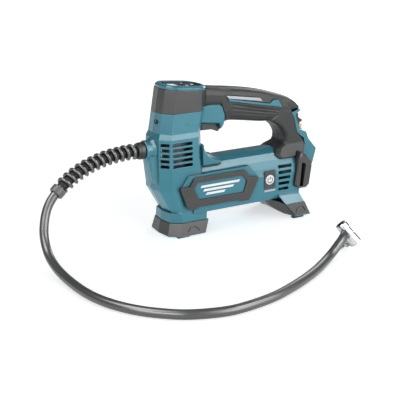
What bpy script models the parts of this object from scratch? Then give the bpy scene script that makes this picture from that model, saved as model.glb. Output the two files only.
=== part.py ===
"""Cordless hand-held air inflator with a hose and a clip-on valve chuck.

Sizes are millimetres: x runs from the toe of the front foot towards the battery end, y is
zero on the parting line, z is height above the table.  at() turns them into the part's own
frame: metres, origin under the middle of the body, on the table.  Left is the -Y side.
"""
import math

import bmesh
import bpy
from mathutils import Matrix, Vector

MM = 0.001
NOSE_X = -21.0                 # front face of the hose boss
TAIL_X = 209.6                 # rear tip of the battery rail
MIDDLE_X = (NOSE_X + TAIL_X) / 2
GAP = 0.3                      # kept between touching pieces
WALL = 2.6                     # moulded wall
ROUND = 24                     # sides of a large round piece
FINE = 16                      # sides of a small round piece

SOLE = 3.4                     # underside of the rear foot, over its pads
FRONT_SOLE = 1.3               # underside of the front foot
TUBE_HALF = 28.0               # half width of the motor tube
TUBE_TOP = 85.6
TUBE_FLOOR = 25.6
TUBE_REAR = 178.0
BOSS_Z = 102.5                 # height of the hose boss axis
BOSS_RADIUS = 11.3
HEAD_SLOPE = 0.10              # fall of the display face per millimetre of x
HEAD_JOINT = 172.2             # height of the joint under the bezel at x = 0
HOSE_RADIUS = 5.0
SLEEVE_TURNS = 12
SLEEVE_WIRE = 1.9
MOTOR_Z = 59.0
CRANK_Z = 42.5
GEAR_X = 66.0
CRANK_THROW = 5.0
CYLINDER_X = 21.0
SCREWS = ((24.0, 131.0, 22.4), (118.0, 33.0, 26.6), (156.0, 33.0, 26.6))   # x, z, seat at |y|


def paint(red, green, blue, roughness, metallic=0.0):
    return (red, green, blue, 1.0), roughness, metallic


TEAL = paint(0.060, 0.262, 0.335, 0.42)
DARK = paint(0.075, 0.078, 0.078, 0.62)
BLACK = paint(0.018, 0.018, 0.019, 0.5)
GREY = paint(0.20, 0.20, 0.20, 0.5)
SILVER = paint(0.62, 0.63, 0.65, 0.3, 0.8)
STEEL = paint(0.55, 0.56, 0.58, 0.25, 1.0)
CAST = paint(0.42, 0.43, 0.44, 0.5, 1.0)
BRASS = paint(0.75, 0.55, 0.22, 0.3, 1.0)
BOARD = paint(0.02, 0.16, 0.07, 0.5)
WHITE = paint(0.82, 0.83, 0.84, 0.35)


def at(x, y, z):
    """Point of the design, in metres in the part's frame."""
    return Vector(((x - MIDDLE_X) * MM, y * MM, z * MM))


def clear_scene():
    for old in list(bpy.data.objects):
        bpy.data.objects.remove(old, do_unlink=True)


# ------------------------------------------------------------------ bodies
def dress(thing, name, finish):
    """Names an object and gives it a material of its own."""
    colour, roughness, metallic = finish
    made = bpy.data.materials.new("finish_" + name)
    made.use_nodes = True
    shader = made.node_tree.nodes["Principled BSDF"]
    shader.inputs["Base Color"].default_value = colour
    shader.inputs["Roughness"].default_value = roughness
    shader.inputs["Metallic"].default_value = metallic
    thing.name = name
    thing.data.materials.clear()
    thing.data.materials.append(made)
    return thing


def loft(rings, closed=False):
    """Closed body through rings of equal count: capped at the ends, or joined end to end."""
    bm = bmesh.new()
    loops = [[bm.verts.new(point) for point in ring] for ring in rings]
    pairs = list(zip(loops, loops[1:]))
    if closed:
        pairs.append((loops[-1], loops[0]))
    for low, high in pairs:
        for i in range(len(low)):
            j = (i + 1) % len(low)
            bm.faces.new((low[i], low[j], high[j], high[i]))
    bmesh.ops.triangulate(bm, faces=bm.faces)
    if not closed:
        bm.faces.new(list(reversed(loops[0])))
        bm.faces.new(loops[-1])
    bmesh.ops.recalc_face_normals(bm, faces=bm.faces)
    mesh = bpy.data.meshes.new("body")
    bm.to_mesh(mesh)
    bm.free()
    made = bpy.data.objects.new("body", mesh)
    bpy.context.scene.collection.objects.link(made)
    return made


def smooth(thing, degrees=35):
    thing.data.shade_smooth()
    thing.data.set_sharp_from_angle(angle=math.radians(degrees))
    return thing


def prism(outline, low, high, axis):
    """Outline pushed along y (outline in x, z), along z (x, y) or along x (y, z)."""
    def place(a, b, along):
        if axis == "y":
            return at(a, along, b)
        return at(a, b, along) if axis == "z" else at(along, a, b)
    return loft([[place(a, b, along) for a, b in outline] for along in (low, high)])


def box(x0, x1, y0, y1, z0, z1):
    return prism([(x0, y0), (x1, y0), (x1, y1), (x0, y1)], z0, z1, "z")


def side_plate(outline, side, near, far):
    """Outline in x, z pushed outwards on one side, between two distances from the middle."""
    low, high = sorted((side * near, side * far))
    return prism(outline, low, high, "y")


def rings_about(profile, origin, direction, sides):
    turn = Vector(direction).normalized().to_track_quat("Z", "Y").to_matrix()
    rings = []
    for along, radius in profile:
        ring = []
        for i in range(sides):
            angle = 2 * math.pi * (i + 0.5) / sides
            local = Vector((radius * math.cos(angle), radius * math.sin(angle), along)) * MM
            ring.append(at(*origin) + turn @ local)
        rings.append(ring)
    return rings


def shaft(profile, origin, direction, sides=ROUND):
    """Solid turned piece: (along, radius) from one end to the other."""
    return smooth(loft(rings_about(profile, origin, direction, sides)))


def tube_piece(profile, origin, direction, sides=ROUND):
    """Turned piece with a hole: the closed profile runs round its wall."""
    return smooth(loft(rings_about(profile, origin, direction, sides), closed=True))


def washer(inner, outer, low, high, origin, direction, sides=ROUND):
    profile = [(low, inner), (low, outer), (high, outer), (high, inner)]
    return tube_piece(profile, origin, direction, sides)


def combine(target, other, operation):
    modifier = target.modifiers.new("combine", "BOOLEAN")
    modifier.operation = operation
    modifier.solver = "EXACT"
    modifier.object = other
    shape = target.evaluated_get(bpy.context.evaluated_depsgraph_get())
    mesh = bpy.data.meshes.new_from_object(shape)
    target.modifiers.remove(modifier)
    target.data = mesh
    bpy.data.objects.remove(other, do_unlink=True)
    return target


def cut(target, *others):
    for other in others:
        combine(target, other, "DIFFERENCE")
    return target


def join(target, *others):
    for other in others:
        combine(target, other, "UNION")
    return target


def in_halves(whole):
    """Left and right mouldings, half a gap each side of the parting line."""
    other = whole.copy()
    other.data = whole.data.copy()
    bpy.context.scene.collection.objects.link(other)
    near = GAP / 2
    combine(whole, box(-80, 280, -120, -near, -20, 220), "INTERSECT")
    combine(other, box(-80, 280, near, 120, -20, 220), "INTERSECT")
    return whole, other


def pivot(moving, point):
    """Puts an object's origin on its joint without moving its shape."""
    moving.data.transform(Matrix.Translation(-Vector(point)))
    moving.location = point
    return moving


# ------------------------------------------------------------------ outlines
def both_sides(half):
    """Whole outline from a half whose first and last points lie on the middle line."""
    return list(half) + [(x, -y) for x, y in reversed(half[1:-1])]


def grown(outline, amount):
    """Outline moved outwards by an amount (inwards when negative), corners kept sharp."""
    count = len(outline)
    area = 0.0
    for i, (ax, ay) in enumerate(outline):
        bx, by = outline[(i + 1) % count]
        area += ax * by - bx * ay
    sign = 1.0 if area > 0 else -1.0
    result = []
    for i in range(count):
        before, here, after = (Vector(outline[j % count]) for j in (i - 1, i, i + 1))
        first = (here - before).normalized()
        second = (after - here).normalized()
        one = Vector((first.y, -first.x)) * sign
        two = Vector((second.y, -second.x)) * sign
        push = (one + two) / max(0.3, 1 + one.dot(two))
        result.append(tuple(here + push * amount))
    return result


# Plan of the tower by height: nose, front corner, side corner, rear side, rear corner, back.
TOWER = (
    (16.9, 0.8, (3.0, 17.2), (14.5, 25.7), (47.3, 25.7), (47.9, 15.0), 48.0),
    (28.0, 1.6, (4.0, 17.0), (14.8, 24.0), (48.8, 24.0), (49.3, 15.0), 49.4),
    (28.9, 3.4, (6.0, 16.2), (15.6, 24.2), (48.8, 24.2), (49.3, 15.0), 49.4),
    (56.2, -11.8, (-9.5, 16.9), (2.0, 27.2), (42.0, 27.4), (47.0, 17.0), 48.0),
    (90.0, -11.5, (-9.6, 16.2), (0.8, 26.8), (36.8, 26.6), (44.5, 17.0), 47.0),
    (116.0, -10.8, (-9.3, 15.8), (1.5, 26.0), (36.2, 25.6), (44.0, 17.0), 47.0),
    (122.0, -8.6, (-7.0, 14.0), (2.2, 24.6), (37.0, 24.2), (44.5, 16.0), 47.0),
    (144.6, -5.3, (-3.8, 12.8), (6.0, 23.3), (41.0, 23.3), (49.0, 15.5), 52.0),
)
HEAD_LOW = TOWER[-1][1:]
HEAD_HIGH = (-0.8, (0.8, 13.2), (10.4, 22.8), (43.0, 22.8), (52.5, 15.2), 56.5)

# Half section of the motor tube from the top round to the underside, (y, z).
TUBE = ((0.0, TUBE_TOP), (9.0, 85.0), (15.5, 80.6), (21.5, 74.0), (26.2, 66.0),
        (TUBE_HALF, 57.0), (TUBE_HALF, 37.0), (25.2, TUBE_FLOOR), (0.0, TUBE_FLOOR))

BADGE_FIELD = ((12.5, 60.4), (21.5, 72.6), (103.0, 73.6), (114.5, 60.2), (103.0, 34.2), (20.5, 34.2))
BADGE_FRAME = ((9.5, 59.5), (20.2, 33.1), (31.2, 32.6), (33.5, 34.8), (89.5, 34.8), (91.1, 32.6),
               (102.4, 32.4), (115.3, 57.0), (114.3, 59.4), (103.8, 60.2), (96.1, 69.7),
               (28.2, 69.5), (21.8, 60.2), (11.0, 60.6))
BADGE_WINDOW = ((31.5, 64.2), (92.5, 64.1), (99.0, 57.1), (94.4, 43.1), (34.5, 43.4), (27.3, 56.8))
SWITCH_BLOCK = ((38.0, 146.0), (47.0, 147.8), (56.0, 149.0), (72.0, 148.0), (75.2, 145.0),
                (78.6, 135.4), (78.2, 127.0), (76.4, 122.4), (73.2, 118.8), (71.2, 125.4),
                (46.0, 128.9), (38.0, 129.8))
STRIPE = ((81.0, 153.4), (139.2, 141.4), (144.3, 145.5), (151.2, 144.6), (157.8, 135.4),
          (136.0, 139.6), (82.6, 150.6))
TRIM = ((78.5, 157.4), (125.5, 149.9), (129.2, 145.6), (82.0, 153.8))
GUARD = ((176.5, 80.2), (183.7, 76.6), (192.6, 66.4), (192.6, 60.8), (189.3, 38.9), (185.0, 35.4),
         (175.7, 35.6), (169.9, 38.2), (168.3, 41.6), (173.4, 73.6))
GUARD_SLOT = ((176.9, 68.4), (182.8, 65.6), (179.2, 38.4), (174.2, 38.6))
RAIL = ((171.6, 126.6), (182.8, 130.4), (184.6, 128.6), (177.9, 124.4), (178.0, 120.4),
        (184.4, 104.6), (193.9, 100.9), (197.4, 92.2), (209.6, 78.0), (205.2, 61.7), (198.0, 47.0),
        (190.0, 36.5), (179.4, 36.5), (179.4, 70.0), (184.4, 72.6), (192.4, 85.4), (191.0, 93.4),
        (185.6, 97.2), (180.6, 101.8), (175.2, 121.6))


# ------------------------------------------------------------------ housing
def tower(inset=0.0, lowest=0.0, cap=None):
    rings = []
    for z, nose, front, side, rear, corner, back in TOWER:
        if z < lowest:
            continue
        outline = grown(both_sides([(nose, 0.0), front, side, rear, corner, (back, 0.0)]), -inset)
        rings.append([at(x, y, z) for x, y in outline])
    if cap:
        rings.append([Vector((p.x, p.y, cap * MM)) for p in rings[-1]])
    return loft(rings)


def motor_tube(front, rear, inset=0.0):
    outline = list(TUBE) + [(-y, z) for y, z in reversed(TUBE[1:-1])]
    return prism(grown(outline, -inset), front, rear, "x")


def switch_block(grow=0.0):
    """Teal block under the front of the handle that holds the trigger."""
    rings = []
    for y, inset in ((-15.6, 1.6), (-14.0, 0.0), (14.0, 0.0), (15.6, 1.6)):
        wide = y + math.copysign(grow, y)
        rings.append([at(x, wide, z) for x, z in grown(SWITCH_BLOCK, grow - inset)])
    return loft(rings)


def boss_and_fairing():
    boss = shaft([(0.0, BOSS_RADIUS - 0.8), (0.8, BOSS_RADIUS), (7.0, BOSS_RADIUS),
                  (10.0, BOSS_RADIUS + 2.4), (18.0, BOSS_RADIUS + 2.4)], (NOSE_X, 0, BOSS_Z), (1, 0, 0))
    high = both_sides([(-20.2, 0.0), (-19.6, 6.6), (-17.0, 10.4), (-8.0, 12.6), (-4.0, 0.0)])
    low = both_sides([(-12.6, 0.0), (-12.4, 6.6), (-11.4, 13.8), (-8.0, 15.0), (-4.0, 0.0)])
    fairing = loft([[at(x, y, 64.0) for x, y in low], [at(x, y, 97.0) for x, y in high]])
    return boss, fairing


def tower_web():
    """Curved web in the corner between the tower's back and the top of the motor tube."""
    outline = ((43.0, 104.0), (48.6, 104.0), (49.3, 99.5), (51.2, 95.2), (54.4, 91.4), (59.0, 88.4),
               (65.0, 86.4), (72.0, 85.3), (72.0, 78.0), (43.0, 78.0))
    rings = []
    for y, inset in ((-20.8, 2.6), (-18.0, 0.7), (-13.0, 0.0), (13.0, 0.0), (18.0, 0.7), (20.8, 2.6)):
        rings.append([at(x, y, z) for x, z in grown(outline, -inset)])
    return loft(rings)


def rear_skirt():
    rings = []
    for z, front, rear, wide in ((19.7, 152.7, 179.6, 35.6), (28.9, 147.9, 177.3, TUBE_HALF - 0.4),
                                 (44.0, 143.0, 176.4, TUBE_HALF - 3.0)):
        rings.append([at(x, y, z) for x, y in ((front, -wide), (rear, -wide), (rear, wide), (front, wide))])
    return loft(rings)


def cooling_slots():
    """Slots in the sides: two columns on the tower and one at the tail, both sides."""
    cutters = []
    for side in (-1, 1):
        near, far = sorted((side * 20.0, side * 36.0))
        for row in range(5):
            z = 110.3 - 6.15 * row
            cutters.append(box(2.8, 28.4, near, far, z - 1.9, z + 1.9))
            facet = box(-5.7, 4.9, -9.0, 9.0, z - 1.9, z + 1.9)
            turn = Matrix.Rotation(math.radians(side * 45.0), 4, "Z")
            facet.data.transform(Matrix.Translation(-at(0, 0, 0)))
            facet.data.transform(Matrix.Translation(at(-4.3, side * 21.3, 0)) @ turn)
            cutters.append(facet)
            z = 65.2 - 6.85 * row
            cutters.append(box(146.4, 166.2 - 1.3 * row, near, far, z - 1.9, z + 1.9))
    return cutters


def housing():
    shell = tower()
    join(shell, motor_tube(30.0, TUBE_REAR), *boss_and_fairing(), switch_block(), rear_skirt(), tower_web())
    for side in (-1, 1):
        join(shell, side_plate(BADGE_FIELD, side, TUBE_HALF - 6, TUBE_HALF + 1.2))
    cut(shell, tower(WALL, 28.5, 150.0), motor_tube(24.0, TUBE_REAR - WALL, WALL))
    for x, z, _ in SCREWS:
        join(shell, shaft([(-24, 4.0), (24, 4.0)], (x, 0, z), (0, 1, 0), FINE))
    for side in (-1, 1):
        near, far = sorted((side * 15.0, side * 25.6))
        join(shell, box(4.0, 38.0, near, far, 60.4, 63.7))
    for x in (84.0, 118.0):
        join(shell, box(x, x + 3.0, -14.0, 14.0, 26.5, MOTOR_Z - 18.0 - GAP))
    cut(shell, shaft([(-5, 5.9), (24, 5.9)], (NOSE_X, 0, BOSS_Z), (1, 0, 0), FINE))
    cut(shell, box(46.8, 76.0, -9.6, 9.6, 108, 137.6), box(50.0, 70.0, -8.0, 8.0, 137.0, 156.0))
    cut(shell, *cooling_slots())
    seat = [(125.2, 41.0), (141.7, 41.0), (141.7, 62.7), (125.2, 62.7)]
    cut(shell, side_plate(seat, -1, TUBE_HALF - 1.2, TUBE_HALF + 9))
    cut(shell, shaft([(0, 6.7), (12, 6.7)], (133.4, -20, 52.0), (0, -1, 0), FINE))
    cut(shell, shaft([(0, 2.6), (12, 2.6)], (-3.0, -3.1, 134.6), (-1, -0.4, 0), FINE))
    for x, z, seat in SCREWS:
        profile = [(-20, 1.6), (seat - 2.3, 1.6), (seat - 2.2, 3.4), (45, 3.4)]
        cut(shell, shaft(profile, (x, 0, z), (0, 1, 0), FINE))
    left, right = in_halves(shell)
    dress(left, "housing_left", TEAL)
    dress(right, "housing_right", TEAL)


# ------------------------------------------------------------------ handle
def oval(outer, inner, half, count=16, sharp=0.66):
    """Ring of the handle between an outer and an inner point of the side view."""
    (ax, az), (bx, bz) = outer, inner
    ring = []
    for i in range(count):
        angle = 2 * math.pi * (i + 0.5) / count
        along, across = math.cos(angle), math.sin(angle)
        along = math.copysign(abs(along) ** sharp, along)
        across = math.copysign(abs(across) ** sharp, across)
        x = (ax + bx) / 2 + (ax - bx) / 2 * along
        z = (az + bz) / 2 + (az - bz) / 2 * along
        ring.append(at(x, half * across, z))
    return ring


NECK = (((44.0, 170.8), (44.0, 144.0), 14.8), ((60.0, 168.5), (60.0, 144.0), 15.4),
        ((74.0, 166.5), (74.0, 143.0), 15.9), ((86.0, 164.6), (86.0, 140.0), 15.6))
BAR = (((74.0, 166.5), (74.0, 127.0), 15.8), ((80.4, 165.9), (79.8, 124.2), 16.1),
       ((88.0, 164.9), (87.5, 125.5), 16.4),
       ((111.0, 161.5), (110.5, 122.3), 16.7), ((132.0, 157.3), (131.0, 119.0), 16.7),
       ((149.5, 152.5), (145.5, 117.6), 16.5), ((162.5, 148.4), (154.5, 114.4), 16.3),
       ((172.0, 143.0), (161.0, 109.6), 16.1), ((175.2, 129.0), (164.8, 103.4), 15.9),
       ((176.0, 116.0), (166.0, 98.5), 15.6))
TAIL = ((150.0, 151.9, 128.0, 13.0), (163.0, 148.0, 127.0, 15.4), (172.0, 144.4, 126.8, 15.7),
        (179.0, 139.4, 128.0, 15.2), (184.2, 133.2, 130.4, 13.6))
PILLAR = ((138.0, 120.4), (146.0, 117.0), (152.5, 113.6), (158.0, 108.8), (162.0, 103.2), (163.9, 98.0),
          (163.5, 92.6), (160.6, 87.6), (155.5, 83.8), (150.0, 81.8), (144.0, 80.4), (144.0, 74.0),
          (184.0, 74.0), (190.9, 85.2), (190.9, 92.8), (186.0, 98.2), (182.0, 104.0), (179.4, 114.0),
          (177.0, 124.0), (172.0, 131.0), (160.0, 134.0))


def inwards(station, amount):
    (ax, az), (bx, bz), half = station
    step = Vector((ax - bx, az - bz)).normalized() * amount
    return (ax - step.x, az - step.y), (bx + step.x, bz + step.y), half - amount


def eased(stations, steps):
    """Stations with smooth ones put between them."""
    flat = [(*outer, *inner, half) for outer, inner, half in stations]
    result = []
    for i in range(len(flat) - 1):
        four = [flat[max(i - 1, 0)], flat[i], flat[i + 1], flat[min(i + 2, len(flat) - 1)]]
        for k in range(steps):
            t = k / steps
            mixed = []
            for p0, p1, p2, p3 in zip(*four):
                mixed.append(0.5 * (2 * p1 + (p2 - p0) * t + (2 * p0 - 5 * p1 + 4 * p2 - p3) * t * t
                                    + (3 * p1 - p0 - 3 * p2 + p3) * t ** 3))
            result.append(((mixed[0], mixed[1]), (mixed[2], mixed[3]), mixed[4]))
    return result + [stations[-1]]


def rounded_plate(outline, half, edge):
    """Outline pushed across the whole width, its two rims rounded over."""
    rings = []
    for share, inset in ((-1.0, 1.0), (-0.94, 0.45), (-0.8, 0.1), (-0.6, 0.0),
                         (0.6, 0.0), (0.8, 0.1), (0.94, 0.45), (1.0, 1.0)):
        rings.append([at(x, half * share, z) for x, z in grown(outline, -edge * inset)])
    return loft(rings)


def grip_grooves(side):
    """Four shallow grooves that fan across the side of the handle."""
    for share in (0.15, 0.38, 0.61, 0.84):
        x0, x1 = 85.5 + 4.0 * share, 155.0 - 12.5 * share
        z0, z1 = 150.3 - 22.0 * share, 134.3 - 12.6 * share
        yield side_plate([(x0, z0 - 1.8), (x1, z1 - 1.8), (x1 + 1.0, z1), (x0, z0)], side, 15.4, 24.0)


def handle():
    bar = loft([oval(*station, count=20) for station in eased(BAR, 3)])
    tail = [((x, top), (x, low), half) for x, top, low, half in TAIL]
    join(bar, loft([oval(*station, count=20) for station in eased(NECK, 1)]))
    join(bar, loft([oval(*station) for station in eased(tail, 2)]), rounded_plate(PILLAR, 16.3, 3.4))
    root = ((92.0, 166.0, 190.4, 14.6), (85.0, 150.0, 190.4, 18.4), (79.5, 145.0, 187.0, 22.4),
            (74.6, 146.6, 184.0, 24.8))
    rings = []
    for z, front, rear, half in root:
        outline = ((front, -half * 0.6), (front + 2.5, -half * 0.88), (front + 7, -half), (rear, -half),
                   (rear, half), (front + 7, half), (front + 2.5, half * 0.88), (front, half * 0.6))
        rings.append([at(x, y, z) for x, y in outline])
    join(bar, loft(rings))
    neck_hollow = [((x, high - WALL), (x, 152.5), half - WALL) for (x, high), _, half in NECK]
    neck_hollow[0] = ((38.0, 168.6), (38.0, 152.5), 11.8)
    cut(bar, loft([oval(*station) for station in neck_hollow]))
    inside = (((84.0, 165.4), (84.0, 124.8), 16.2),) + BAR[2:-2]
    cut(bar, loft([oval(*inwards(station, WALL)) for station in inside]))
    cut(bar, motor_tube(20.0, TUBE_REAR + GAP, -GAP), head_solid(), switch_block(GAP))
    cut(bar, prism(grown(RAIL, GAP), -16.4, 16.4, "y"))
    for side in (-1, 1):
        cut(bar, side_plate(grown(STRIPE, GAP), side, 14.4, 24.0))
        cut(bar, side_plate(grown(TRIM, GAP), side, 14.2, 24.0))
        cut(bar, side_plate(grown(GUARD, GAP), side, 20.5, 40.0), *grip_grooves(side))
    left, right = in_halves(bar)
    dress(smooth(left), "grip_left", DARK)
    dress(smooth(right), "grip_right", DARK)
    for side, name in ((-1, "left"), (1, "right")):
        dress(side_plate(STRIPE, side, 14.7, 16.9), "stripe_" + name, TEAL)
        dress(side_plate(TRIM, side, 14.5, 16.7), "trim_" + name, SILVER)


# ------------------------------------------------------------------ head
def head_z(x, drop=0.0):
    return HEAD_JOINT - HEAD_SLOPE * x - drop


def tilted(x, y, rise):
    """Point over the display joint: rise is measured square to the sloping face."""
    length = math.hypot(1.0, HEAD_SLOPE)
    return at(x + rise * HEAD_SLOPE / length, y, head_z(x) + rise / length)


def softened(outline, cut_back, steps):
    """Outline with each corner replaced by a short curve."""
    result = []
    count = len(outline)
    for i in range(count):
        before, here, after = (Vector(outline[j % count]) for j in (i - 1, i, i + 1))
        start = here + (before - here) * cut_back
        end = here + (after - here) * cut_back
        for k in range(steps):
            t = k / (steps - 1)
            result.append(tuple(start * (1 - t) ** 2 + here * 2 * t * (1 - t) + end * t ** 2))
    return result


def head_outline(plan, grow=0.0):
    nose, front, side, rear, corner, back = plan
    return grown(both_sides([(nose, 0.0), front, side, rear, corner, (back, 0.0)]), grow)


def head_solid():
    """Space taken by the head band and bezel, with a gap round it."""
    low, high = head_outline(HEAD_LOW, GAP), head_outline(HEAD_HIGH, GAP + 0.25)
    return loft([[at(x, y, 140.0) for x, y in low], [at(x, y, 144.6) for x, y in low],
                 [at(x, y, head_z(x)) for x, y in high], [at(x + 0.4, y, 185.0) for x, y in high]])


WINDOW = ((5.2, -6.4), (10.4, -14.0), (40.4, -16.4), (50.0, -9.4), (50.0, 9.4), (40.4, 16.4),
          (10.4, 14.0), (5.2, 6.4))
PANEL_RISE = 2.6


def on_face(outline, low, high):
    return loft([[tilted(x, y, rise) for x, y in outline] for rise in (low, high)])


def head():
    low, high = head_outline(HEAD_LOW), head_outline(HEAD_HIGH)
    band = loft([[at(x, y, 144.6 + GAP) for x, y in low], [tilted(x, y, -GAP / 2) for x, y in high]])
    inner_low, inner_high = head_outline(HEAD_LOW, -WALL), head_outline(HEAD_HIGH, -WALL)
    cut(band, loft([[at(x, y, 140.0) for x, y in inner_low], [tilted(x, y, 6.0) for x, y in inner_high]]))
    dress(cut(band, switch_block(GAP)), "head_band", DARK)

    rim = softened(high, 0.33, 3)
    bezel = loft([[tilted(x, y, GAP / 2) for x, y in rim], [tilted(x, y, 2.7) for x, y in rim],
                  [tilted(x, y, 4.5) for x, y in grown(rim, -1.8)]])
    window = softened(WINDOW, 0.3, 3)
    cut(bezel, on_face(window, -2.0, 8.0), on_face(grown(window, 2.0), -2.0, PANEL_RISE - 1.6))
    dress(bezel, "display_bezel", TEAL)

    glass = [(9.5, -8.4), (25.0, -8.4), (25.0, 8.4), (9.5, 8.4)]
    panel = on_face(grown(window, -GAP), -0.8, PANEL_RISE)
    join(panel, on_face(grown(window, 1.6), -0.8, 0.7))
    cut(panel, on_face(glass, PANEL_RISE - 0.9, PANEL_RISE + 2))
    keys = {"plus_button": (32.0, -6.6), "minus_button": (32.0, 6.6), "unit_button": (42.0, 0.0)}
    for x, y in keys.values():
        cut(panel, on_face(key_outline(x, y, 3.4), -3.0, 8.0))
    dress(panel, "display_panel", BLACK)
    dress(on_face(grown(glass, -GAP), PANEL_RISE - 0.6, PANEL_RISE + 0.1), "lcd_window", WHITE)
    for name, (x, y) in keys.items():
        key = on_face(key_outline(x, y, 3.0), -2.2, PANEL_RISE + 0.9)
        join(key, on_face(key_outline(x, y, 4.2), -2.2, -1.2))
        dress(pivot(key, tilted(x, y, PANEL_RISE)), name, GREY)
    board = on_face([(8.0, -12.0), (46.0, -12.0), (46.0, 12.0), (8.0, 12.0)], -4.8, -3.4)
    dress(board, "display_board", BOARD)


def key_outline(x, y, radius):
    ring = [(x + radius * math.cos(math.pi * (i + 0.5) / 5), y + radius * math.sin(math.pi * (i + 0.5) / 5))
            for i in range(10)]
    return ring


# ------------------------------------------------------------------ outside fittings
def badges():
    for side, name in ((-1, "left"), (1, "right")):
        frame = side_plate(BADGE_FRAME, side, TUBE_HALF + 1.5, TUBE_HALF + 3.4)
        cut(frame, side_plate(BADGE_WINDOW, side, TUBE_HALF, TUBE_HALF + 9))
        dress(frame, "badge_frame_" + name, GREY)
        blank = side_plate(grown(BADGE_WINDOW, -GAP), side, TUBE_HALF + 1.5, TUBE_HALF + 2.3)
        dress(blank, "name_plate_" + name, TEAL)


def power_switch():
    seat = [(125.5, 41.3), (141.4, 41.3), (141.4, 62.4), (125.5, 62.4)]
    cover = side_plate(seat, -1, TUBE_HALF - 0.9, TUBE_HALF + 0.5)
    cut(cover, shaft([(0, 6.3), (12, 6.3)], (133.4, -20, 52.0), (0, -1, 0)))
    dress(cover, "power_plate", GREY)
    button = shaft([(24.2, 6.0), (28.6, 6.0), (29.0, 5.6)], (133.4, 0, 52.0), (0, -1, 0))
    dress(pivot(button, at(133.4, -29.0, 52.0)), "power_button", WHITE)


def arch_grooves(outline, base, base_z, lean):
    """Shallow grooves on both leaning side faces of a foot; the face is base wide at base_z."""
    for side in (-1, 1):
        rings = []
        for depth in (-0.9, 3.0):
            rings.append([at(x, side * (base - (z - base_z) * lean + depth), z) for x, z in outline])
        yield loft(rings)


def feet():
    nose, front, side = (0.0, 0.0), (2.3, 17.9), (14.3, 26.5)
    top = both_sides([nose, front, side, (49.4, 26.5), (50.0, 15.0), (50.0, 0.0)])
    low = both_sides([(-3.4, 0.0), (-1.1, 20.4), (10.8, 29.8), (43.6, 29.8), (44.2, 15.0), (44.2, 0.0)])
    front_foot = loft([[at(x, y, FRONT_SOLE) for x, y in grown(low, -0.8)],
                       [at(x, y, FRONT_SOLE + 0.9) for x, y in low], [at(x, y, 16.6) for x, y in top]])
    low_arch = ((19.6, 6.0), (23.4, 11.8), (31.6, 11.4), (36.4, 5.6), (34.4, 5.6), (30.8, 9.8),
                (24.4, 10.2), (21.6, 6.0))
    cut(front_foot, *arch_grooves(low_arch, 29.8, FRONT_SOLE + 0.9, 0.241))
    dress(front_foot, "front_foot", DARK)

    arch = ((-39.0, SOLE, 166.0, 187.0), (-25.0, SOLE, 165.5, 187.0), (-17.0, 9.0, 160.0, 184.0),
            (17.0, 9.0, 160.0, 184.0), (25.0, SOLE, 165.5, 187.0), (39.0, SOLE, 166.0, 187.0))
    rings = []
    for y, low_z, toe, heel in arch:
        wide = y if abs(y) < 30 else math.copysign(36.0, y)
        rings.append([at(toe, y, low_z), at(heel, y, low_z), at(180.2, wide, 19.4), at(152.5, wide, 19.4)])
    rear_foot = loft(rings)
    ramp = ((130.0, 24.7, 23.5, 25.6, 23.6), (136.0, 18.6, 26.0, 25.5, 25.0),
            (144.0, 12.2, 29.0, 23.6, 29.6), (152.5, 7.4, 32.4, 19.4, 35.2),
            (160.0, 4.8, 35.0, 19.4, 36.0), (168.0, SOLE, 38.4, 19.4, 36.0))
    join(rear_foot, loft([[at(x, -wide, low_z), at(x, wide, low_z), at(x, high_wide, high),
                           at(x, -high_wide, high)] for x, low_z, wide, high, high_wide in ramp]))
    cut(rear_foot, box(120, 190, -14, 14, -3, 9.0))
    cut(rear_foot, motor_tube(120.0, TUBE_REAR + 20, -GAP), grown_skirt())
    high_arch = ((165.0, 8.2), (167.8, 14.6), (177.0, 14.2), (180.8, 8.2), (178.9, 8.2), (176.0, 12.6),
                 (168.8, 13.0), (166.8, 8.2))
    cut(rear_foot, *arch_grooves(high_arch, 39.0, SOLE, 0.1875))
    dress(rear_foot, "rear_foot", DARK)
    corners = ((15.5, -25.5), (15.5, 25.5), (172.0, -33.0), (172.0, 33.0))
    for number, (x, y) in enumerate(corners, 1):
        under = FRONT_SOLE if x < 50 else SOLE
        pad = box(x - 7.5, x + 7.5, y - 2.5, y + 2.5, 0.0, under - GAP)
        dress(pad, "foot_pad_%d" % number, BLACK)


def grown_skirt():
    rings = []
    for z, front, rear, wide in ((19.4, 152.2, 180.0, 36.2), (29.2, 147.3, 177.6, TUBE_HALF)):
        rings.append([at(x, y, z) for x, y in ((front, -wide), (rear, -wide), (rear, wide), (front, wide))])
    return loft(rings)


def lamp():
    lens = shaft([(1.0, 2.3), (5.4, 2.3), (6.0, 1.6)], (-3.0, -3.1, 134.6), (-1, -0.4, 0), FINE)
    dress(lens, "lamp_lens", WHITE)


def screws():
    for number, (x, z, seat) in enumerate(SCREWS, 1):
        profile = [(-17.0, 0.4), (-15.6, 1.3), (seat - 1.9, 1.3), (seat - 1.85, 3.0), (seat - 0.2, 3.0)]
        screw = shaft(profile, (x, 0, z), (0, 1, 0), FINE)
        for angle in (0.0, 60.0, 120.0):
            slot = box(x - 1.6, x + 1.6, seat - 1.2, seat + 2, z - 0.35, z + 0.35)
            middle = at(x, 0, z)
            turn = Matrix.Translation(middle) @ Matrix.Rotation(math.radians(angle), 4, "Y")
            slot.data.transform(turn @ Matrix.Translation(-middle))
            cut(screw, slot)
        dress(screw, "housing_screw_%d" % number, STEEL)


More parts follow.
